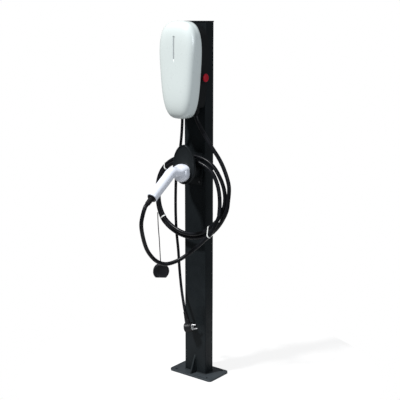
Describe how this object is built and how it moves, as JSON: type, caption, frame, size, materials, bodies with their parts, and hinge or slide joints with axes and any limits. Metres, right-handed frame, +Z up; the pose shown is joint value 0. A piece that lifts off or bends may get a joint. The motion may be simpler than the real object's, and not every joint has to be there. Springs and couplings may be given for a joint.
{
  "type": "ev charging post",
  "caption": "Black steel post on a base plate with a white shield-shaped wall charger, emergency stop, plug holster, coiled charging cable and supply plug.",
  "frame": {"origin": "centre of the base plate's underside, on the ground, midway between its anchor holes", "axes": "+Z up along the post, -Y out of the front where the charger and the plug are, +X to the right seen from the front"},
  "size_m": [0.3549, 0.3822, 1.345],
  "materials": {
    "powder_coat": "satin black powder coat",
    "plate_coat": "satin black powder coat, slightly worn",
    "bracket_steel": "satin black",
    "zinc_screws": "zinc plated",
    "case_black": "fine-textured black plastic",
    "seal_foam": "foam rubber",
    "cover_white": "glossy white plastic",
    "light_lens": "pale frosted lens",
    "board_green": "solder-mask green",
    "contactor_grey": "moulded grey",
    "sensor_blue": "moulded blue",
    "gland_black": "moulded black nylon",
    "stop_red": "glossy red",
    "plunger_steel": "turned",
    "holster_black": "satin black plastic",
    "gun_white": "satin white plastic",
    "gun_black": "moulded black",
    "contact_metal": "nickel plated",
    "relief_rubber": "ribbed rubber",
    "cable_black": "satin black cable jacket",
    "tie_white": "white nylon",
    "plug_black": "moulded black rubber",
    "cap_rubber": "soft black rubber"
  },
  "bodies": {
    "post": {"post_tube": "powder_coat", "base_plate": "plate_coat", "front_gusset": "powder_coat", "rear_gusset": "powder_coat", "post_cap": "powder_coat", "mounting_bracket": "bracket_steel", "bracket_screws": "zinc_screws", "rear_case": "case_black", "case_seal": "seal_foam", "front_cover": "cover_white", "cover_screws": "zinc_screws", "status_light": "light_lens", "light_board": "board_green", "control_board": "board_green", "contactor": "contactor_grey", "terminal_block": "contactor_grey", "current_sensor": "sensor_blue", "supply_gland": "gland_black", "output_gland": "gland_black", "gland_nuts": "gland_black", "stop_collar": "gland_black", "stop_contact_block": "sensor_blue", "holster_base": "holster_black", "holster_neck": "holster_black", "holster_plate": "holster_black", "holster_screws": "zinc_screws", "charging_cable_lead": "cable_black", "charging_cable_coil": "cable_black", "cable_ties": "tie_white", "supply_cable": "cable_black", "plug_body": "plug_black", "plug_pins": "contact_metal", "plug_strain_relief": "relief_rubber", "cap_tether": "cap_rubber", "dust_cap": "cap_rubber"},
    "stop_plunger_body": {"stop_plunger": "plunger_steel"},
    "stop_head_body": {"stop_head": "stop_red"},
    "gun": {"gun_nose": "gun_black", "gun_contacts": "contact_metal", "gun_collar": "gun_white", "gun_shell_left": "gun_white", "gun_shell_right": "gun_white", "gun_screws": "zinc_screws", "gun_strain_relief": "relief_rubber", "charging_cable_tail": "cable_black"}
  },
  "joints": [
    {"name": "gun_pull", "type": "slide", "parent": "post", "child": "gun", "axis": [0, -1, 0], "range_m": [0, 0.06]},
    {"name": "stop_press", "type": "slide", "parent": "post", "child": "stop_plunger_body", "axis": [-1, 0, 0], "range_m": [0, 0.004], "stiffness_N_per_m": 2000},
    {"name": "stop_twist", "type": "hinge", "parent": "stop_plunger_body", "child": "stop_head_body", "pos_m": [0.082, -0.064, 1.147], "axis": [1, 0, 0], "range_deg": [-40, 0], "stiffness_Nm_per_rad": 0.3}
  ]
}
